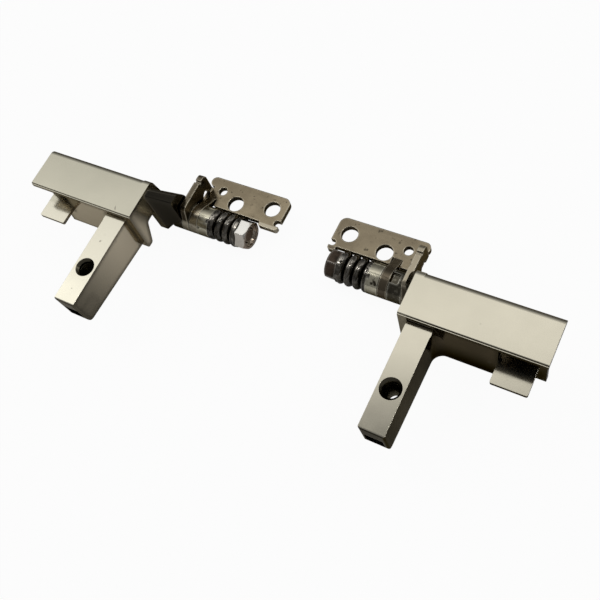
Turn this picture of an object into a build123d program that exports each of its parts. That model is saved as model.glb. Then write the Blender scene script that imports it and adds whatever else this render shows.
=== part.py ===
"""Laptop hinge pair: two mirrored friction hinges laid side by side.

Each hinge is a die-cast arm with a pivot shaft, and a stamped leaf that turns on the shaft against a
stack of friction pieces held by a nut. The origin lies midway between the two tapped leg holes, on the
legs' seat face, with X along the pivots, Y towards the leaves and Z up.
"""
import os
from math import cos, radians, sin, tan

from build123d import *

# Layout of the pair
half_gap = 23.85          # middle of the pair to the inner end of each cover
hole_setback = 10.0       # tapped hole to the cover's front edge
cover_rise = 1.5          # leg's seat face to the cover's top

# Fits
running_clearance = 0.04  # leaf on the journal, all round
fit_clearance = 0.02      # pieces fixed to the shaft, all round and end to end
side_play = 0.06          # turning faces along the pivot
barrel_gap = 0.2          # leaf plate to the friction stack

# Pivot
axis_back = 8.67          # cover's front edge to the pivot axis
axis_drop = 11.85         # cover's top to the pivot axis
journal_radius = 1.6
root_radius = 1.8
root_depth = 4.0          # shaft in the arm, past the cover's inner end
thread_radius = 1.45
flat_width = 2.5          # across the two flats that key the ring
shaft_end_bevel = 0.3

# Arm: cover
cover_length = 21.5
cover_width = 7.4
cover_plate = 1.05
cover_round = 0.95
rear_wall = 0.9
rear_drop = 5.2
rear_stop = 1.2           # rear wall's end, short of the cover's outer end
lip_edge = 0.15           # rounded edges of the cover's front lip
lip_step = 0.14           # fine ledge along the lip, below its top edge
lip_step_drop = 0.25

# Arm: skirt below the cover's lip
lip_overhang = 0.3
skirt_stop = 4.7          # skirt's end, short of the cover's outer end
skirt_wall = 1.35
skirt_drop = 9.2
skirt_lean = 0.6
skirt_round = 0.5

# Arm: end wall with its hook, notch and rear lobe
end_wall = 1.4
notch_front = 2.35
notch_back = 4.5
notch_top = 5.1
notch_round = 0.6
lobe_corner = 4.5         # lower front corner of the lobe, from the cover's front edge
lobe_corner_drop = 11.2
lobe_heel = 8.9           # rear edge of the end wall, where it meets the boss
lobe_heel_drop = 10.5
boss_reach = 2.2          # boss from the end wall towards the barrel
boss_start = 0.4          # drop of the boss's upper end on the end wall
boss_front = 6.6          # boss's end face, from the cover's front edge
boss_back = 10.0
boss_top_drop = 4.9
boss_foot_drop = 10.9
boss_round_share = 0.24   # radius of the boss's side edges, as a share of its width on the end wall
root_boss_radius = 2.4    # boss on the outer side of the end wall

# Arm: leg
leg_inset = 1.37
leg_width = 4.0
leg_reach = 16.7
leg_root_height = 7.5
leg_tip_height = 6.3
leg_tip_round = 1.0
leg_edge = 0.3
leg_corner = 0.35         # upright edges of the leg's tip
leg_root_round = 1.7
leg_root_slope = 60.0     # fall of the root fillet's top, away from the leg
leg_hole_radius = 1.25
leg_hole_rim = 1.65
pocket_wall = 0.55
pocket_roof = 2.6
pocket_height = 2.9
pocket_depth = 3.5

# Arm: tab and post
tab_inset = 1.5           # tab's side, short of the cover's outer end
tab_width = 5.35
tab_reach = 3.35
tab_drop = 4.4
tab_thickness = 0.65
tab_round = 0.25
post_inset = 0.45
post_width = 1.55
post_front = 1.5
post_depth = 0.8
post_drop = 10.1

# Leaf bracket
leaf_thickness = 1.05
plate_rise = 0.6          # plate's top above the pivot axis
plate_back = 8.53         # pivot axis to the plate's back edge
plate_start = 2.75        # plate's two ends, from the cover's inner end
plate_end = 18.95
plate_corner = 1.25
plate_inner_corner = 0.95
tongue_start = 3.0        # plate in front of the bend, under the ear
hook_front = 2.1
hook_round = 0.45
hook_notch_radius = 0.55
hook_notch_back = 3.45
hook_notch_end = 18.45
slot_clearance = 0.3
ear_start = 2.45          # ear's outer face, from the cover's inner end
ear_top = 4.65
ear_front = 1.2
ear_back = 6.25
ear_round = 0.9
neck_relief_back = 4.5    # top of the relief between the ear's neck and its eye
neck_relief_up = 2.1
eye_back = 3.75
eye_up = 1.6
ear_notch_back = 4.5
ear_notch_width = 0.5
ear_notch_depth = 0.35
bend_radius = 0.4
bend_front = 5.3
relief_width = 0.3        # slot between the bend and the plate's end
relief_round = 0.95
strap_angle = 31.0
strap_overlap = 0.5
strap_relief = 0.25
knuckle_width = 1.55
curl_end = 320.0          # where the rolled knuckle stops, round from the back
outer_hole = (16.34, 5.75)
middle_hole = (9.47, 4.55)
inner_hole = (5.92, 6.14)
screw_hole_radius = 1.45
pin_hole_radius = 0.8

# Friction stack
collar_width = 2.45
collar_notch_width = 1.4
collar_notch_back = 1.05
collar_notch_front = 0.8
collar_notch_depth = 0.8
thrust_washer_width = 0.2
ring_width = 2.1
seat_washer_width = 0.3
key_width = 0.7           # seat washer's key in the friction ring's slot
key_reach = 0.45
key_root = 2.0
key_tilt = 22.0           # forwards from straight up
spring_pairs = 3
spring_thickness = 0.45
spring_dish = 0.3
end_washer_width = 0.5
washer_radius = 2.6
nut_height = 2.0
nut_flats = 4.6
nut_bevel = 0.35
nut_recess_radius = 1.95
nut_recess_depth = 0.5
right_nut_turn = -12.0    # how far round each nut was tightened
left_nut_turn = 0.0
shaft_recess = 0.45       # shaft's end below the nut's end face

# Values that follow from the sizes above
knuckle_bore = journal_radius + running_clearance
barrel_radius = knuckle_bore + leaf_thickness
ear_end = ear_start + leaf_thickness
shoulder_end = ear_start - side_play
spring_step = spring_thickness + spring_dish + fit_clearance
bend_start = ear_end + bend_radius
relief_back = ear_back + relief_width
leg_middle = leg_inset + leg_width / 2
skirt_length = cover_length - skirt_stop
boss_round = boss_round_share * (cover_width - notch_back)
tab_start = cover_length - tab_inset - tab_width
post_start = cover_length - post_inset - post_width
strap_normal = (sin(radians(strap_angle)), cos(radians(strap_angle)))
strap_slope = tan(radians(strap_angle))
strap_root = barrel_radius * strap_normal[0] + (barrel_radius * strap_normal[1] - plate_rise) / strap_slope
strap_under = (knuckle_bore * strap_normal[0]
               + (knuckle_bore * strap_normal[1] - plate_rise + leaf_thickness) / strap_slope)

# Planes of the right hinge, from the inner front top corner of its cover and from its pivot axis
corner = Vector(half_gap, hole_setback, cover_rise)
axis_point = corner + Vector(0, axis_back, -axis_drop)
pivot = Axis(axis_point, (1, 0, 0))
end_plane = Plane(corner, x_dir=(0, 1, 0), z_dir=(1, 0, 0))        # back, up; outwards is positive
front_plane = Plane(corner, x_dir=(1, 0, 0), z_dir=(0, -1, 0))     # outwards, up; forwards is positive
skirt_plane = Plane(corner + Vector(0, lip_overhang, -cover_plate / 2), x_dir=(1, 0, 0),
                    z_dir=(0, cover_plate / 2 - skirt_drop, lip_overhang + skirt_lean))
top_plane = Plane(corner)                                          # outwards, back; up is positive
axis_plane = Plane(axis_point, x_dir=(0, 1, 0), z_dir=(1, 0, 0))   # back, up from the pivot axis
length_plane = Plane(axis_point, x_dir=(-1, 0, 0), z_dir=(0, 1, 0))  # along the barrel, up; back is positive
plate_plane = Plane(axis_point + Vector(0, 0, plate_rise), x_dir=(-1, 0, 0), z_dir=(0, 0, -1))


def across(station):
    """Plane across the barrel, at a distance from the cover's inner end."""
    return axis_plane.offset(-station)


def stations(spacer_width):
    """Places along the barrel, from the ear to the end of the nut."""
    place = {"spacer": ear_end + side_play}
    place["knuckle"] = place["spacer"] + spacer_width + side_play
    place["ring"] = place["knuckle"] + knuckle_width + side_play
    place["seat_washer"] = place["ring"] + ring_width + fit_clearance
    place["springs"] = place["seat_washer"] + seat_washer_width + fit_clearance
    place["end_washer"] = place["springs"] + 2 * spring_pairs * spring_step
    place["nut"] = place["end_washer"] + end_washer_width + fit_clearance
    place["nut_end"] = place["nut"] + nut_height
    return place


def arm():
    """Die-cast arm: leg, skirt, cover, end wall with the lobe, tab and post."""
    with BuildPart() as casting:
        # Leg, deeper at its root, with a pocket in its end and a tapped hole
        with BuildSketch(end_plane.offset(leg_inset)):
            with BuildLine():
                FilletPolyline(
                    (skirt_wall / 2, -cover_rise),
                    (-leg_reach, -cover_rise),
                    (-leg_reach, -cover_rise - leg_tip_height),
                    (skirt_wall / 2, -cover_rise - leg_root_height),
                    radius=[0, leg_edge, leg_tip_round, 0],
                    close=True,
                )
            make_face()
        extrude(amount=leg_width)
        with BuildSketch(top_plane):
            with BuildLine():
                FilletPolyline(
                    (leg_inset, skirt_wall),
                    (leg_inset, -leg_reach),
                    (leg_inset + leg_width, -leg_reach),
                    (leg_inset + leg_width, skirt_wall),
                    radius=[0, leg_corner, leg_corner, 0],
                    close=True,
                )
            make_face()
        extrude(amount=-cover_rise - leg_root_height, mode=Mode.INTERSECT)
        # Skirt, with an opening for the tab
        with BuildSketch(end_plane):
            with BuildLine():
                FilletPolyline(
                    (lip_overhang, -cover_plate / 2),
                    (-skirt_lean, -skirt_drop),
                    (skirt_wall - skirt_lean, -skirt_drop),
                    (lip_overhang + skirt_wall, -cover_plate / 2),
                    radius=[0, skirt_round, skirt_round, 0],
                    close=True,
                )
            make_face()
        extrude(amount=skirt_length)
        root = casting.edges().filter_by(GeomType.LINE).filter_by(
            lambda edge: abs(edge.center().X - half_gap - leg_inset - leg_width) < fit_clearance
            and edge.length > leg_root_height / 2
            and abs(edge.center().Y - hole_setback) < skirt_wall
        )
        fillet(root, leg_root_round)
        # Top of that fillet falls away from the leg's seat face
        leg_side = leg_inset + leg_width
        slope_run = 2 * leg_root_round
        slope_top = cover_plate / 2 - cover_rise
        with BuildSketch(skirt_plane):
            with BuildLine():
                Polyline(
                    (leg_side, slope_top),
                    (leg_side + slope_run, slope_top),
                    (leg_side + slope_run, slope_top - slope_run * tan(radians(leg_root_slope))),
                    close=True,
                )
            make_face()
        extrude(amount=leg_reach, mode=Mode.SUBTRACT)
        with BuildSketch(front_plane):
            with Locations((tab_start, -tab_drop - tab_thickness)):
                Rectangle(cover_length, tab_drop + tab_thickness, align=(Align.MIN, Align.MIN))
        extrude(amount=cover_width, both=True, mode=Mode.SUBTRACT)
        with BuildSketch(front_plane.offset(leg_reach)):
            with Locations((leg_middle, -cover_rise - pocket_roof)):
                Rectangle(leg_width - 2 * pocket_wall, pocket_height, align=(Align.CENTER, Align.MAX))
        extrude(amount=-pocket_depth, mode=Mode.SUBTRACT)
        with Locations((half_gap + leg_middle, 0, 0)):
            CounterSinkHole(leg_hole_radius, leg_hole_rim)
        # Cover and its rear wall, open underneath
        with BuildSketch(end_plane):
            with BuildLine():
                FilletPolyline(
                    (lip_step, 0),
                    (cover_width, 0),
                    (cover_width, -rear_drop),
                    (cover_width - rear_wall, -rear_drop),
                    (cover_width - rear_wall, -cover_plate),
                    (0, -cover_plate),
                    (0, -lip_step_drop),
                    (lip_step, -lip_step_drop),
                    radius=[lip_edge, cover_round, 0, 0, 0, lip_edge, 0, 0],
                    close=True,
                )
            make_face()
        extrude(amount=cover_length)
        with BuildSketch(front_plane.offset(-cover_width)):
            with Locations((cover_length, -cover_plate)):
                Rectangle(rear_stop, rear_drop, align=(Align.MAX, Align.MAX))
        extrude(amount=rear_wall, mode=Mode.SUBTRACT)
        # End wall: hook in front, notch, and the lobe that holds the shaft
        with BuildSketch(end_plane):
            with BuildLine():
                FilletPolyline(
                    (lip_step, 0),
                    (cover_width, 0),
                    (lobe_heel, -lobe_heel_drop),
                    (axis_back, -axis_drop),
                    (axis_back, -axis_drop - root_boss_radius / 2),
                    (lobe_corner, -lobe_corner_drop),
                    (notch_back, -notch_top),
                    (notch_front, -notch_top),
                    (skirt_wall - skirt_lean, -skirt_drop),
                    (-skirt_lean, -skirt_drop),
                    (0, -lip_step_drop),
                    (lip_step, -lip_step_drop),
                    radius=[lip_edge, cover_round, 0, 0, 0, skirt_round, notch_round, notch_round,
                            skirt_round, skirt_round, 0, 0],
                    close=True,
                )
            make_face()
        extrude(amount=end_wall)
        # Boss that leans back from the end wall towards the barrel, with a sloping top
        with BuildPart(mode=Mode.ADD) as boss:
            with BuildSketch(top_plane.offset(-boss_foot_drop)):
                with BuildLine():
                    Polyline(
                        (0, notch_back),
                        (0, cover_width),
                        (-boss_reach, boss_back),
                        (-boss_reach, boss_front),
                        close=True,
                    )
                make_face()
            extrude(amount=boss_foot_drop)
            with BuildSketch(front_plane):
                with BuildLine():
                    Polyline(
                        (0, -boss_start),
                        (-boss_reach, -boss_top_drop),
                        (-boss_reach, -boss_foot_drop),
                        (0, -boss_foot_drop),
                        close=True,
                    )
                make_face()
            extrude(amount=-boss_back, mode=Mode.INTERSECT)
            sides = boss.edges().filter_by_position(Axis.X, half_gap - boss_reach + fit_clearance,
                                                    half_gap - fit_clearance)
            fillet(sides, boss_round)
        # Round bosses about the pivot, and the bore for the shaft's root
        with BuildSketch(across(boss_reach)):
            Circle(barrel_radius)
        extrude(amount=boss_reach)
        with BuildSketch(axis_plane):
            Circle(root_boss_radius)
        extrude(amount=root_depth)
        with BuildSketch(across(boss_reach)):
            Circle(root_radius + fit_clearance)
        extrude(amount=boss_reach + root_depth, mode=Mode.SUBTRACT)
        # Tab through the skirt's opening, from the rear wall
        with BuildSketch(top_plane.offset(-tab_drop)):
            with BuildLine():
                FilletPolyline(
                    (tab_start, cover_width - rear_wall / 2),
                    (tab_start, -tab_reach),
                    (tab_start + tab_width, -tab_reach),
                    (tab_start + tab_width, cover_width - rear_wall / 2),
                    radius=[0, tab_round, tab_round, 0],
                    close=True,
                )
            make_face()
        extrude(amount=-tab_thickness)
        # Post under the cover's outer end
        with BuildSketch(top_plane.offset(-cover_plate / 2)):
            with Locations((post_start, post_front)):
                Rectangle(post_width, post_depth, align=(Align.MIN, Align.MIN))
        extrude(amount=cover_plate / 2 - post_drop)
    return casting.part


def pivot_shaft(place):
    """Turned shaft: root, shoulder, journal and thread, with two flats under the ring."""
    tip = place["nut_end"] - shaft_recess
    with BuildPart() as shaft:
        with BuildSketch(length_plane):
            with BuildLine():
                Polyline(
                    (-root_depth, 0),
                    (-root_depth, root_radius),
                    (boss_reach + fit_clearance, root_radius),
                    (boss_reach + fit_clearance, barrel_radius),
                    (shoulder_end, barrel_radius),
                    (shoulder_end, journal_radius),
                    (place["end_washer"], journal_radius),
                    (place["end_washer"], thread_radius),
                    (tip - shaft_end_bevel, thread_radius),
                    (tip, thread_radius - shaft_end_bevel),
                    (tip, 0),
                    close=True,
                )
            make_face()
        revolve(axis=pivot)
        with BuildSketch(across(place["end_washer"])):
            Rectangle(2 * barrel_radius, 2 * barrel_radius)
            Rectangle(2 * barrel_radius, flat_width, mode=Mode.SUBTRACT)
        extrude(amount=place["end_washer"] - place["ring"], mode=Mode.SUBTRACT)
    return shaft.part


def leaf_bracket(place):
    """Stamped leaf: screw plate with a hooked end, bent-up ear and rolled knuckle."""
    knuckle_end = place["knuckle"] + knuckle_width
    slot_end = place["nut_end"] + slot_clearance
    with BuildPart() as leaf:
        with BuildSketch(plate_plane):
            with BuildLine():
                FilletPolyline(
                    (plate_start, relief_back),
                    (plate_start, plate_back),
                    (plate_end, plate_back),
                    (plate_end, hook_front),
                    (slot_end, hook_front),
                    (slot_end, barrel_radius + barrel_gap),
                    (knuckle_end + strap_relief, barrel_radius + barrel_gap),
                    (knuckle_end + strap_relief, strap_root),
                    (place["knuckle"], strap_root),
                    (place["knuckle"], barrel_radius + barrel_gap),
                    (tongue_start, barrel_radius + barrel_gap),
                    (tongue_start, bend_front),
                    (bend_start, bend_front),
                    (bend_start, relief_back),
                    radius=[relief_round, plate_inner_corner, plate_corner, hook_round, slot_clearance,
                            slot_clearance, slot_clearance, 0, 0, 0, 0, 0, 0, 0],
                    close=True,
                )
            make_face()
            with Locations((hook_notch_end, hook_notch_back)):
                Circle(hook_notch_radius, mode=Mode.SUBTRACT)
                Rectangle(plate_end - hook_notch_end, 2 * hook_notch_radius,
                          align=(Align.MIN, Align.CENTER), mode=Mode.SUBTRACT)
            with Locations(outer_hole, middle_hole):
                Circle(screw_hole_radius, mode=Mode.SUBTRACT)
            with Locations(inner_hole):
                Circle(pin_hole_radius, mode=Mode.SUBTRACT)
        extrude(amount=leaf_thickness)
        # Bend from the plate up into the ear
        with BuildSketch(length_plane.offset(bend_front)):
            with Locations((bend_start, plate_rise + bend_radius)):
                Circle(bend_radius + leaf_thickness)
                Circle(bend_radius, mode=Mode.SUBTRACT)
                Rectangle(bend_radius + leaf_thickness, bend_radius + leaf_thickness,
                          align=(Align.MAX, Align.MAX), mode=Mode.INTERSECT)
        extrude(amount=ear_back - bend_front)
        # Ear round the shaft, with a small notch in its top edge
        with BuildSketch(across(ear_end)):
            with BuildLine():
                FilletPolyline(
                    (-ear_front, ear_top),
                    (ear_back, ear_top),
                    (ear_back, plate_rise + bend_radius),
                    (bend_front, plate_rise + bend_radius),
                    (neck_relief_back, neck_relief_up),
                    (eye_back, eye_up),
                    (barrel_radius, 0),
                    (-barrel_radius, 0),
                    radius=[ear_round, ear_round, 0, 0, hook_round, hook_round, 0, 0],
                    close=True,
                )
            make_face()
            Circle(barrel_radius)
            Circle(knuckle_bore, mode=Mode.SUBTRACT)
            with Locations((ear_notch_back, ear_top)):
                Rectangle(ear_notch_width, 2 * ear_notch_depth, mode=Mode.SUBTRACT)
        extrude(amount=leaf_thickness)
        # Strap that ramps up from the plate and rolls round the shaft
        with BuildSketch(across(knuckle_end)):
            with BuildLine():
                roll = curl_end - (90 - strap_angle)
                outside = CenterArc((0, 0), barrel_radius, 90 - strap_angle, roll)
                inside = CenterArc((0, 0), knuckle_bore, 90 - strap_angle, roll)
                Line(outside @ 1, inside @ 1)
                Polyline(
                    outside @ 0,
                    (strap_root, plate_rise),
                    (strap_root + strap_overlap, plate_rise),
                    (strap_root + strap_overlap, plate_rise - leaf_thickness),
                    (strap_under, plate_rise - leaf_thickness),
                    inside @ 0,
                )
            make_face()
        extrude(amount=knuckle_width)
    return leaf.part


def stop_collar(place):
    """Wide collar between ear and knuckle, with a stop notch in its top."""
    knuckle_side = place["spacer"] + collar_width
    with BuildPart() as collar:
        with BuildSketch(across(knuckle_side)):
            Circle(barrel_radius)
            Circle(journal_radius + fit_clearance, mode=Mode.SUBTRACT)
        extrude(amount=collar_width)
        with BuildSketch(across(knuckle_side)):
            with Locations((collar_notch_back, barrel_radius - collar_notch_depth)):
                Rectangle(collar_notch_back + collar_notch_front, barrel_radius,
                          align=(Align.MAX, Align.MIN))
        extrude(amount=collar_notch_width, mode=Mode.SUBTRACT)
    return collar.part


def plain_washer(start, width, radius):
    """Flat round washer on the shaft."""
    with BuildPart() as washer:
        with BuildSketch(across(start + width)):
            Circle(radius)
            Circle(journal_radius + fit_clearance, mode=Mode.SUBTRACT)
        extrude(amount=width)
    return washer.part


def friction_ring(place):
    """Sleeve keyed to the shaft's flats, pressed against the knuckle."""
    with BuildPart() as ring:
        with BuildSketch(across(place["ring"] + ring_width)):
            Circle(barrel_radius)
        extrude(amount=ring_width)
        with BuildSketch(across(place["ring"] + ring_width)):
            Circle(journal_radius + fit_clearance)
            Rectangle(2 * barrel_radius, flat_width + 2 * fit_clearance, mode=Mode.INTERSECT)
        extrude(amount=ring_width, mode=Mode.SUBTRACT)
        with BuildSketch(across(place["ring"] + ring_width)):
            with PolarLocations(key_root - fit_clearance, 1, start_angle=90 + key_tilt):
                Rectangle(barrel_radius, key_width + 2 * fit_clearance, align=(Align.MIN, Align.CENTER))
        extrude(amount=key_reach + fit_clearance, mode=Mode.SUBTRACT)
    return ring.part


def seat_washer(place):
    """Washer under the springs, keyed into the friction ring's slot."""
    with BuildPart() as washer:
        add(plain_washer(place["seat_washer"], seat_washer_width, washer_radius))
        with BuildSketch(across(place["seat_washer"] + seat_washer_width)):
            with PolarLocations(key_root, 1, start_angle=90 + key_tilt):
                Rectangle(washer_radius - key_root, key_width, align=(Align.MIN, Align.CENTER))
        extrude(amount=seat_washer_width + key_reach)
    return washer.part


def disc_spring(start, rim_shift, hub_shift):
    """Conical spring: its rim and its hub are shifted along the shaft by their own amounts."""
    hub = start + hub_shift
    rim = start + rim_shift
    with BuildPart() as spring:
        with BuildSketch(length_plane):
            with BuildLine():
                Polyline(
                    (hub, journal_radius + fit_clearance),
                    (hub + spring_thickness, journal_radius + fit_clearance),
                    (rim + spring_thickness, barrel_radius),
                    (rim, barrel_radius),
                    close=True,
                )
            make_face()
        revolve(axis=pivot)
    return spring.part


def lock_nut(place, turn):
    """Hexagon nut with bevelled corners and a recess in its end face."""
    corner_radius = nut_flats / 2 / cos(radians(30))
    with BuildPart() as nut:
        with BuildSketch(across(place["nut_end"])):
            RegularPolygon(nut_flats / 2, 6, major_radius=False, rotation=turn)
        extrude(amount=nut_height)
        with BuildSketch(length_plane):
            with BuildLine():
                Polyline(
                    (place["nut"], 0),
                    (place["nut"], corner_radius),
                    (place["nut_end"] - nut_bevel, corner_radius),
                    (place["nut_end"], corner_radius - nut_bevel),
                    (place["nut_end"], 0),
                    close=True,
                )
            make_face()
        revolve(axis=pivot, mode=Mode.INTERSECT)
        with BuildSketch(across(place["nut_end"])):
            Circle(nut_recess_radius)
        extrude(amount=nut_recess_depth, mode=Mode.SUBTRACT)
        with BuildSketch(across(place["nut_end"])):
            Circle(thread_radius + fit_clearance)
        extrude(amount=nut_height, mode=Mode.SUBTRACT)
    return nut.part


def hinge(spacer_name, spacer_width, nut_turn):
    """Pieces of one hinge, modelled on the right-hand side, by name."""
    place = stations(spacer_width)
    pieces = {
        "arm": arm(),
        "pivot_shaft": pivot_shaft(place),
        "leaf_bracket": leaf_bracket(place),
        "friction_ring": friction_ring(place),
        "seat_washer": seat_washer(place),
        "end_washer": plain_washer(place["end_washer"], end_washer_width, washer_radius),
        "lock_nut": lock_nut(place, nut_turn),
    }
    if spacer_name == "stop_collar":
        pieces[spacer_name] = stop_collar(place)
    else:
        pieces[spacer_name] = plain_washer(place["spacer"], spacer_width, barrel_radius)
    for pair in range(spring_pairs):
        start = place["springs"] + 2 * pair * spring_step
        pieces[f"disc_spring_{2 * pair + 1}"] = disc_spring(start, 0, spring_dish)
        pieces[f"disc_spring_{2 * pair + 2}"] = disc_spring(start + spring_step, spring_dish, 0)
    return pieces


os.makedirs("parts", exist_ok=True)

for name, piece in hinge("stop_collar", collar_width, right_nut_turn).items():
    with BuildPart() as right_piece:
        add(piece)
    right_piece.part.label = f"right_{name}"
    export_step(right_piece.part, f"parts/right_{name}.step")

for name, piece in hinge("thrust_washer", thrust_washer_width, left_nut_turn).items():
    with BuildPart() as left_piece:
        mirror(piece, about=Plane.YZ)
    left_piece.part.label = f"left_{name}"
    export_step(left_piece.part, f"parts/left_{name}.step")
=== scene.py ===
"""Laptop hinge pair: plated finishes, rounded springs, leg threads, stage, light and camera."""

from math import cos, pi, radians, sin

import bmesh
import bpy
from mathutils import Matrix, Vector


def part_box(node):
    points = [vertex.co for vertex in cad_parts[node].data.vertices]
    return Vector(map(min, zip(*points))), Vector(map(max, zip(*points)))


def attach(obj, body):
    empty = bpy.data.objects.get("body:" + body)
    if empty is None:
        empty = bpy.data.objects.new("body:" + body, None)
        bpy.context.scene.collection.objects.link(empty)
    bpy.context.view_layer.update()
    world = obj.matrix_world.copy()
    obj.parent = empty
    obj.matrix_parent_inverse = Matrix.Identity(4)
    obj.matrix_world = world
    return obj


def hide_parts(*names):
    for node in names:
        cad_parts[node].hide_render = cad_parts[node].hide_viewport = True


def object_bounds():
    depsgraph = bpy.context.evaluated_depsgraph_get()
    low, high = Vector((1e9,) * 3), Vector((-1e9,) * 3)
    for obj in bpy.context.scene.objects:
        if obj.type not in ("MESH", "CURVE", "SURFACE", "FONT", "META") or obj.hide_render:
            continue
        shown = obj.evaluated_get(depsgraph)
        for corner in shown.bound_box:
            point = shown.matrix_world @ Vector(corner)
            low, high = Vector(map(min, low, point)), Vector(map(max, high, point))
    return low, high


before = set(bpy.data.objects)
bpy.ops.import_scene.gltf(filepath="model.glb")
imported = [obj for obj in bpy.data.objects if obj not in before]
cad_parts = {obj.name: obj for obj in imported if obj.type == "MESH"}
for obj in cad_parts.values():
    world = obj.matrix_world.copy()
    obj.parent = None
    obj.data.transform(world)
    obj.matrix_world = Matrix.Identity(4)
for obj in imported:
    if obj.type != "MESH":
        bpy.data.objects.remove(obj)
cad_low, cad_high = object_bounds()
MM = 0.001
leg_hole_x = 27.22 * MM
pivot_y, pivot_z = 18.67 * MM, -10.35 * MM


class Wire:
    """Output of a node that takes part in Python arithmetic."""

    def __init__(self, graph, socket):
        self.graph = graph
        self.socket = socket

    def math(self, operation, first, second):
        return self.graph.node("ShaderNodeMath", {"operation": operation}, {0: first, 1: second})

    def __add__(self, other):
        return self.math("ADD", self, other)

    def __sub__(self, other):
        return self.math("SUBTRACT", self, other)

    def __rsub__(self, other):
        return self.math("SUBTRACT", other, self)

    def __mul__(self, other):
        return self.math("MULTIPLY", self, other)

    def __abs__(self):
        return self.graph.node("ShaderNodeMath", {"operation": "ABSOLUTE"}, {0: self})

    __radd__ = __add__
    __rmul__ = __mul__


class Graph:
    """Node tree under construction."""

    def __init__(self, tree):
        self.tree = tree

    def node(self, kind, settings=None, inputs=None, output=0):
        """Add a node, apply its settings, then set or link its sockets; gives one output."""
        made = self.tree.nodes.new(kind)
        for key, value in (settings or {}).items():
            if key == "stops":
                ramp = made.color_ramp.elements
                while len(ramp) < len(value):
                    ramp.new(0.5)
                for stop, (place, level) in zip(ramp, value):
                    stop.position = place
                    stop.color = (level, level, level, 1)
            else:
                setattr(made, key, value)
        for key, value in (inputs or {}).items():
            self.feed(made.inputs[key], value)
        return Wire(self, made.outputs[output]) if made.outputs else None

    def feed(self, socket, value):
        """Link a wire to a socket, or set the socket's own value."""
        if isinstance(value, Wire):
            self.tree.links.new(value.socket, socket)
        else:
            socket.default_value = value

    def noise(self, place, scale, detail=4.0, roughness=0.55):
        """Cloudy pattern from 0 to 1; the scale is in patches per metre."""
        return self.node("ShaderNodeTexNoise", {}, {"Vector": place, "Scale": scale, "Detail": detail,
                                                    "Roughness": roughness})

    def ramp(self, value, low, high):
        """0 below the low mark, 1 above the high one, smooth between them."""
        return self.node("ShaderNodeMapRange", {"interpolation_type": "SMOOTHSTEP"},
                         {"Value": value, "From Min": low, "From Max": high})

    def blend(self, factor, first, second):
        """Colour that goes from the first to the second."""
        first = (*first, 1) if isinstance(first, tuple) else first
        second = (*second, 1) if isinstance(second, tuple) else second
        return self.node("ShaderNodeMix", {"data_type": "RGBA"}, {0: factor, 6: first, 7: second}, 2)

    def axis(self, vector, name):
        """One component of a vector."""
        return self.node("ShaderNodeSeparateXYZ", {}, {"Vector": vector}, name)


class Metal:
    """Metal finish: its node graph, its shader, places on the object and face directions."""

    def __init__(self, name, edge_radius, grazing_tint):
        self.finish = bpy.data.materials.new(name)
        self.finish.use_nodes = True
        self.graph = Graph(self.finish.node_tree)
        self.shader = self.finish.node_tree.nodes["Principled BSDF"]
        self.shader.inputs["Metallic"].default_value = 1
        self.shader.inputs["Specular Tint"].default_value = (*grazing_tint, 1)
        self.place = self.graph.node("ShaderNodeTexCoord", {}, {}, "Object")
        self.across = self.graph.axis(self.place, "X")
        self.back = self.graph.axis(self.place, "Y")
        self.height = self.graph.axis(self.place, "Z")
        facing = self.graph.node("ShaderNodeTexCoord", {}, {}, "Normal")
        self.upward = self.graph.axis(facing, "Z")
        self.rounded = self.bevel(edge_radius)

    def bevel(self, radius):
        """Face direction with the edges rounded by a radius in millimetres."""
        return self.graph.node("ShaderNodeBevel", {"samples": 6}, {"Radius": radius * MM})

    def edge_band(self, radius, strength):
        """1 on edges, 0 on flat faces; the radius in millimetres sets how wide the band is."""
        flat = self.graph.node("ShaderNodeNewGeometry", {}, {}, "Normal")
        along = self.graph.node("ShaderNodeVectorMath", {"operation": "DOT_PRODUCT"},
                                {0: self.bevel(radius), 1: flat}, "Value")
        return self.graph.ramp(1 - along, 0.01, strength)

    def between(self, low, high, soft=0.05):
        """1 where the object's X lies between two marks in millimetres."""
        above = self.graph.ramp(self.across, (low - soft) * MM, (low + soft) * MM)
        return above - self.graph.ramp(self.across, (high - soft) * MM, (high + soft) * MM)

    def on_left(self):
        """1 on the left hinge."""
        return self.between(-60, 0)

    def on_right(self):
        """1 on the right hinge."""
        return self.between(0, 60)

    def surface(self, colour, roughness, relief, strength, depth=0.02):
        """Feed the shader's colour, roughness and bumped direction, and give the finish."""
        normal = self.graph.node("ShaderNodeBump", {}, {"Strength": strength, "Distance": depth * MM,
                                                        "Height": relief, "Normal": self.rounded})
        self.graph.feed(self.shader.inputs["Base Color"], colour)
        self.graph.feed(self.shader.inputs["Roughness"], roughness)
        self.graph.feed(self.shader.inputs["Normal"], normal)
        return self.finish


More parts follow.
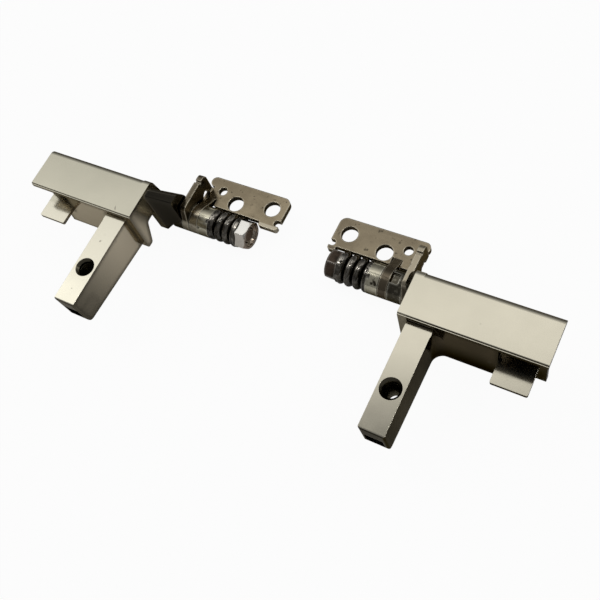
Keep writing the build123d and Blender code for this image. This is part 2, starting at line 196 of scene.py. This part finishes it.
def cast_nickel():
    """Smooth champagne plating on the arms, with light and shade painted in: walls painted darker than
    tops as shade, the left arm's walls painted lighter, the right arm's walls and both bosses painted
    dark as shade.
    """
    metal = Metal("smooth_nickel_casting", 0.06, (0.45, 0.43, 0.38))
    graph = metal.graph
    clouds = graph.noise(metal.place, 110)
    grain = graph.noise(metal.place, 3200, 2.0)
    end_wall = metal.between(23.8, 25.25)
    bosses = metal.between(-23.78, 23.78, 0.04)

    # Painted light: the left arm's walls are lightened in a band along their length, darker towards
    # the front and near the rear corner.
    left_lit_band = graph.ramp(metal.back, -7 * MM, 10 * MM) * (1 - graph.ramp(metal.back, 11 * MM, 15 * MM))
    left_wall_painted_light = graph.blend(left_lit_band, (0.17, 0.153, 0.118), (0.78, 0.69, 0.53))
    # Painted shade: the right arm's walls get a dark tone, darkest past the leg tip and towards the
    # bottom in the skirt tone.
    right_wall_light_and_shade = graph.blend(clouds, (0.075, 0.064, 0.046), (0.15, 0.128, 0.092))
    past_leg_tip = graph.ramp(metal.back, -7 * MM, 0.0)
    right_wall_light_and_shade = graph.blend(past_leg_tip, (0.016, 0.014, 0.011), right_wall_light_and_shade)
    up_skirt = graph.ramp(metal.height, -7 * MM, -2 * MM)
    skirt_painted_shade = graph.blend(up_skirt, (0.022, 0.018, 0.013), (0.15, 0.124, 0.086))
    right_wall_light_and_shade = graph.blend(graph.ramp(metal.back, 4 * MM, 9 * MM), right_wall_light_and_shade, skirt_painted_shade)
    # Painted light: the right arm's end wall gets a lighter tone than its other walls.
    right_wall_light_and_shade = graph.blend(end_wall, right_wall_light_and_shade, (0.42, 0.38, 0.29))
    wall_painted_light_and_shade = graph.blend(metal.on_right(), left_wall_painted_light, right_wall_light_and_shade)
    # Painted shade: both bosses get a near-black tone.
    wall_painted_light_and_shade = graph.blend(bosses, wall_painted_light_and_shade, (0.04, 0.036, 0.028))
    # Painted shade: a dark band along the walls' edges, weaker on the right arm's end wall.
    edge_painted_shade = metal.edge_band(1.6, 0.05) * (0.8 - end_wall * 0.6)
    wall_painted_light_and_shade = graph.blend(edge_painted_shade, wall_painted_light_and_shade, (0.07, 0.062, 0.047))

    top_mottle_and_painted_light = graph.blend(graph.ramp(clouds, 0.3, 0.7), (0.58, 0.555, 0.445), (0.62, 0.59, 0.475))
    # Painted light: the right arm's tops and the left arm's tops towards the front get lighter tones.
    top_mottle_and_painted_light = graph.blend(metal.on_right() * 0.5, top_mottle_and_painted_light, (0.71, 0.655, 0.525))
    left_leg = metal.on_left() * (1 - graph.ramp(metal.back, 9.4 * MM, 9.9 * MM))
    top_mottle_and_painted_light = graph.blend(left_leg, top_mottle_and_painted_light, (0.73, 0.695, 0.57))

    # Painted shade: the walls get a darker tone than the tops, standing in for their darker
    # reflections.
    tone = graph.blend(graph.ramp(metal.upward, 0.75, 0.97), wall_painted_light_and_shade, top_mottle_and_painted_light)
    beside_hole = abs(metal.across) - leg_hole_x
    distance_squared = beside_hole * beside_hole + metal.back * metal.back
    # Painted shade: dark tone inside the legs' tapped holes and just around their rims.
    hole = 1 - graph.ramp(distance_squared, 2.3 * MM ** 2, 2.8 * MM ** 2)
    tone = graph.blend(hole, tone, (0.13, 0.117, 0.085))
    pits = graph.ramp(graph.noise(metal.place, 900, 0.0), 0.18, 0.14)
    tone = graph.blend(pits * 0.5, tone, (0.2, 0.185, 0.15))
    roughness = graph.noise(metal.place, 420) * 0.06 + 0.13
    return metal.surface(tone, roughness, grain, 0.02)


def leaf_nickel():
    """Brown-grey plating on the leaves, with painted shade on side faces, the right leaf, the left
    ear's top and the right knuckle, painted highlights on the right ear's top and the left knuckle,
    and edges brightened, partly wear and partly painted highlight.
    """
    metal = Metal("brown_nickel_leaf", 0.2, (0.5, 0.45, 0.37))
    graph = metal.graph
    bright = (0.72, 0.66, 0.52)
    stretched = graph.node("ShaderNodeMapping", {}, {"Vector": metal.place, "Scale": (1, 14, 14)})
    lines = graph.noise(stretched, 260, 5.0)
    stains = graph.noise(metal.place, 240, 5.0, 0.6)
    tone = graph.blend(graph.ramp(stains, 0.3, 0.7), (0.25, 0.205, 0.135), (0.38, 0.315, 0.21))
    tone = graph.blend(lines * 0.25, tone, (0.2, 0.165, 0.115))
    # Painted shade: side faces of the leaves get a dark tone.
    tone = graph.blend(graph.ramp(abs(metal.upward), 0.3, 0.9), (0.065, 0.055, 0.039), tone)
    # Painted shade: the right leaf is darkened a little.
    tone = graph.blend(metal.on_right() * 0.2, tone, (0.09, 0.078, 0.06))

    ear_top = graph.ramp(metal.height, -7.0 * MM, -6.4 * MM) * graph.ramp(metal.upward, 0.1, 0.5)
    # Painted highlight on the right ear's top edge; painted shade on the left ear's top edge.
    tone = graph.blend(ear_top * metal.on_right() * 0.3, tone, bright)
    tone = graph.blend(ear_top * metal.on_left() * 0.75, tone, (0.1, 0.086, 0.062))

    from_pivot = graph.node("ShaderNodeMapping", {}, {"Vector": metal.place, "Scale": (0, 1, 1),
                                                      "Location": (0, -pivot_y, -pivot_z)})
    radius = graph.node("ShaderNodeVectorMath", {"operation": "LENGTH"}, {0: from_pivot}, "Value")
    knuckle = 1 - graph.ramp(radius, 2.7 * MM, 2.95 * MM)
    # Painted highlight on the left knuckle; painted shade on the right knuckle.
    tone = graph.blend(knuckle * metal.on_left() * 0.5, tone, bright)
    tone = graph.blend(knuckle * metal.on_right() * 0.75, tone, (0.12, 0.098, 0.07))

    # Edges brightened: partly wear, partly a painted highlight.
    tone = graph.blend(metal.edge_band(0.4, 0.08) * 0.6, tone, bright)
    grease = graph.ramp(graph.noise(metal.place, 1300, 3.0), 0.62, 0.7)
    tone = graph.blend(grease * 0.7, tone, (0.05, 0.042, 0.03))
    roughness = stains * 0.14 + 0.14
    return metal.surface(tone, roughness, lines, 0.08)


def turned_steel():
    """Polished barrel steel with turning lines and smears, painted shade on the lower sides and
    painted highlights on the edges; the stop collar is dark with grease.
    """
    metal = Metal("polished_barrel_steel", 0.1, (0.6, 0.56, 0.45))
    graph = metal.graph
    rings = graph.node("ShaderNodeMapping", {}, {"Vector": metal.place, "Scale": (1, 0.04, 0.04)})
    turning = graph.noise(rings, 5200, 3.0)
    smears = graph.noise(metal.place, 620, 5.0, 0.6)
    tone = graph.blend(graph.ramp(smears, 0.35, 0.65), (0.46, 0.43, 0.33), (0.68, 0.64, 0.5))
    tone = graph.blend(graph.ramp(smears, 0.62, 0.68), tone, (0.07, 0.06, 0.042))
    # Painted shade: the lower sides of the barrel parts get a dark tone.
    tone = graph.blend(graph.ramp(metal.upward, -0.2, 0.6), (0.1, 0.085, 0.055), tone)
    left_shaft_end = metal.between(-11, -8)
    tone = graph.blend(left_shaft_end, tone, (0.2, 0.15, 0.12))
    greased = metal.between(17.8, 21.7) + metal.between(-21.7, -20.05)
    thin = graph.ramp(graph.noise(metal.place, 1500, 3.0), 0.5, 0.66)
    tone = graph.blend(greased * (0.95 - thin * 0.2), tone, (0.05, 0.044, 0.032))
    # Painted highlight: edges brightened.
    tone = graph.blend(metal.edge_band(0.5, 0.1) * 0.6, tone, (0.74, 0.71, 0.6))
    roughness = smears * 0.16 + 0.1
    return metal.surface(tone, roughness, turning, 0.1, 0.015)


def oiled_springs():
    """Near-black spring steel under a film of oil, with painted shade on the lower sides and a painted
    highlight in spots along the top of the crests.
    """
    metal = Metal("oiled_black_springs", 0.08, (0.6, 0.56, 0.5))
    graph = metal.graph
    beads = graph.noise(metal.place, 1500, 3.0)
    smears = graph.noise(metal.place, 500, 4.0)
    tone = graph.blend(graph.ramp(smears, 0.35, 0.65), (0.035, 0.031, 0.024), (0.17, 0.155, 0.13))
    # Painted shade: the springs' lower sides get a darker tone.
    tone = graph.blend(graph.ramp(metal.upward, 0.0, 0.6), (0.03, 0.027, 0.02), tone)
    # Painted highlight: bright spots along the top of the crests, where the rims face up.
    crest = graph.ramp(metal.upward, 0.88, 0.97) * graph.ramp(beads, 0.42, 0.58)
    tone = graph.blend(crest, tone, (0.62, 0.58, 0.5))
    metal.shader.inputs["Coat Roughness"].default_value = 0.08
    graph.feed(metal.shader.inputs["Coat Weight"], graph.ramp(beads, 0.35, 0.6))
    roughness = smears * 0.12 + 0.07
    return metal.surface(tone, roughness, beads, 0.25, 0.03)


def nut_plating():
    """Plating on the nuts: bright on the left one with painted shade on its lower facets, brown with
    oil on the right one; painted highlights on the edges.
    """
    metal = Metal("oiled_nut_plating", 0.12, (0.6, 0.55, 0.48))
    graph = metal.graph
    film = graph.noise(metal.place, 420, 4.0)
    # Painted shade: the left nut's lower facets get a darker brown tone.
    clean = graph.blend(graph.ramp(metal.upward, 0.2, 0.75), (0.5, 0.42, 0.33), (0.88, 0.86, 0.8))
    oiled = graph.blend(graph.ramp(film, 0.4, 0.6), (0.05, 0.04, 0.03), (0.13, 0.095, 0.07))
    tone = graph.blend(metal.on_right(), clean, oiled)
    end_face = metal.between(-9.9, -8.0) * (1 - graph.ramp(metal.upward, 0.15, 0.4))
    tone = graph.blend(end_face, tone, (0.28, 0.2, 0.155))
    # Painted highlight: edges brightened.
    tone = graph.blend(metal.edge_band(0.6, 0.1) * 0.6, tone, (0.72, 0.69, 0.62))
    roughness = film * 0.15 + 0.1
    return metal.surface(tone, roughness, film, 0.2)


finishes = {
    "cast_plating": cast_nickel(),
    "leaf_plating": leaf_nickel(),
    "barrel_steel": turned_steel(),
    "spring_steel": oiled_springs(),
    "nut_plating": nut_plating(),
}
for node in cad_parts.values():
    for slot in node.material_slots:
        slot.material = finishes[slot.material.name.split(".")[0]]


def finished_piece(name, mesh, slot, body):
    """Smooth object from a bmesh, with the slot's finish, riding on a body."""
    bmesh.ops.recalc_face_normals(mesh, faces=mesh.faces)
    for face in mesh.faces:
        face.smooth = True
    data = bpy.data.meshes.new(name)
    mesh.to_mesh(data)
    mesh.free()
    piece = bpy.data.objects.new(name, data)
    bpy.context.collection.objects.link(piece)
    data.materials.append(finishes[slot])
    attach(piece, body)
    return piece


def leg_thread(name, hole_x):
    """Screw thread in a leg's tapped hole: a three-sided ridge turned down the bore."""
    bore, ridge, pitch, start = 1.25 * MM, 0.16 * MM, 0.45 * MM, -0.75 * MM
    turns, steps = 12, 32
    mesh = bmesh.new()
    corners = ((bore, start), (bore - ridge, start - pitch * 0.4), (bore, start - pitch * 0.8))
    points = [mesh.verts.new((radius, 0, height)) for radius, height in corners]
    edges = [mesh.edges.new((points[0], points[1])), mesh.edges.new((points[1], points[2]))]
    bmesh.ops.spin(mesh, geom=points + edges, cent=(0, 0, 0), axis=(0, 0, -1),
                   dvec=(0, 0, -pitch / steps), angle=2 * pi * turns, steps=steps * turns,
                   use_duplicate=False)
    bmesh.ops.translate(mesh, verts=mesh.verts, vec=(hole_x, 0, 0))
    finished_piece(name, mesh, "cast_plating", "arms")


leg_thread("left_leg_thread", -leg_hole_x)
leg_thread("right_leg_thread", leg_hole_x)


def rounded_spring(side, number):
    """Disc spring with a rounded back, in place of the plain cone; two rims make one smooth ridge."""
    node = f"{side}_disc_spring_{number}"
    low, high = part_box(node)
    outer = (high.z - low.z) / 2
    middle = (low + high) / 2
    width = high.x - low.x
    hub_radius, thickness, back_steps = 1.62 * MM, 0.45 * MM, 10
    outwards = 1 if side == "right" else -1
    rim_sign = outwards if number % 2 else -outwards
    crest = middle.x + rim_sign * width / 2
    hub = middle.x - rim_sign * width / 2
    profile = [(hub, hub_radius), (hub + rim_sign * thickness, hub_radius)]
    for step in range(back_steps):
        turn = pi / 2 * step / back_steps
        profile.append((crest - rim_sign * width * sin(turn),
                        hub_radius + (outer - hub_radius) * cos(turn)))
    mesh = bmesh.new()
    points = [mesh.verts.new((x, middle.y, middle.z + radius)) for x, radius in profile]
    edges = [mesh.edges.new((points[index - 1], points[index])) for index in range(len(points))]
    bmesh.ops.spin(mesh, geom=points + edges, cent=middle, axis=(1, 0, 0), angle=2 * pi, steps=72,
                   use_merge=True, use_duplicate=False)
    spring = finished_piece(f"{node}_rounded", mesh, "spring_steel", "arms")
    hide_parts(node)


for hinge_side in ("left", "right"):
    for spring_number in range(1, 7):
        rounded_spring(hinge_side, spring_number)


def stage_floor(height):
    """White floor under the hinges."""
    mesh = bmesh.new()
    bmesh.ops.create_grid(mesh, x_segments=2, y_segments=2, size=3)
    bmesh.ops.translate(mesh, verts=mesh.verts, vec=(0, 0, height))
    data = bpy.data.meshes.new("floor")
    mesh.to_mesh(data)
    mesh.free()
    floor = bpy.data.objects.new("floor", data)
    bpy.context.collection.objects.link(floor)
    paper = bpy.data.materials.new("white_paper")
    paper.use_nodes = True
    graph = Graph(paper.node_tree)
    shader = paper.node_tree.nodes["Principled BSDF"]
    shader.inputs["Base Color"].default_value = (0.95, 0.95, 0.95, 1)
    shader.inputs["Roughness"].default_value = 0.9
    shader.inputs["Specular IOR Level"].default_value = 0
    glow = graph.node("ShaderNodeEmission", {}, {"Strength": 1.0})
    seen = graph.node("ShaderNodeLightPath", {}, {}, "Is Camera Ray")
    mixed = graph.node("ShaderNodeMixShader", {}, {0: seen * 0.95, 1: Wire(graph, shader.outputs[0]),
                                                   2: glow})
    graph.feed(paper.node_tree.nodes["Material Output"].inputs["Surface"], mixed)
    data.materials.append(paper)


def studio_world():
    """Soft sky: bright over and behind the hinges, dim in front, white where the camera sees it."""
    world = bpy.data.worlds.new("studio")
    bpy.context.scene.world = world
    world.use_nodes = True
    graph = Graph(world.node_tree)
    towards = graph.node("ShaderNodeTexCoord", {}, {}, "Generated")
    backwards = Vector((-0.3, 0.9, -0.05)).normalized()
    along = graph.node("ShaderNodeVectorMath", {"operation": "DOT_PRODUCT"},
                       {0: towards, 1: backwards}, "Value")
    stops = [(0, 0.17), (0.5, 0.21), (0.61, 0.2), (0.65, 0.96), (0.69, 0.92), (0.725, 0.64),
             (0.8, 0.45), (0.9, 0.2), (1, 0.12)]
    sky = graph.node("ShaderNodeValToRGB", {"stops": stops}, {"Fac": along * 0.5 + 0.5})
    seen = graph.node("ShaderNodeLightPath", {}, {}, "Is Camera Ray")
    strength = graph.axis(sky, "X") * 1.2 * (1 - seen) + seen
    graph.feed(world.node_tree.nodes["Background"].inputs["Color"], (1, 1, 1, 1))
    graph.feed(world.node_tree.nodes["Background"].inputs["Strength"], strength)


def soft_box(name, place, size, watts):
    """Square lamp that faces the hinges."""
    lamp = bpy.data.lights.new(name, "AREA")
    lamp.size = size
    lamp.energy = watts
    holder = bpy.data.objects.new(name, lamp)
    holder.location = place
    holder.rotation_euler = (-Vector(place)).to_track_quat("-Z", "Y").to_euler()
    bpy.context.collection.objects.link(holder)


def photo_camera():
    """Camera at the photograph's viewing angle."""
    azimuth, elevation, roll = radians(52.58), radians(61.23), radians(-28.68)
    back = Vector((sin(azimuth) * cos(elevation), -cos(azimuth) * cos(elevation), sin(elevation)))
    right = (-back).cross(Vector((0, 0, 1))).normalized()
    up = right.cross(-back)
    turned_right = cos(roll) * right + sin(roll) * up
    turned_up = cos(roll) * up - sin(roll) * right
    lens = bpy.data.cameras.new("photo_camera")
    lens.sensor_width = 36
    lens.lens = 46.95
    lens.clip_start = 0.005
    camera = bpy.data.objects.new("photo_camera", lens)
    turn = Matrix((turned_right, turned_up, back)).transposed().to_4x4()
    place = Vector((53.3, -26.27, 100.97)) * MM
    camera.matrix_world = Matrix.Translation(place) @ turn
    bpy.context.collection.objects.link(camera)
    bpy.context.scene.camera = camera


stage_floor(cad_low.z - 0.05 * MM)
studio_world()
soft_box("left_box", (-0.43, 0.0, 0.41), 0.2, 0.07)
soft_box("top_box", (-0.25, 0.03, 0.54), 0.1, 0.16)
soft_box("right_box", (0.3, 0.12, 0.35), 0.12, 0.15)
soft_box("spark", (0.2, 0.07, 0.5), 0.03, 0.12)
photo_camera()
bpy.context.scene.view_settings.view_transform = "Standard"
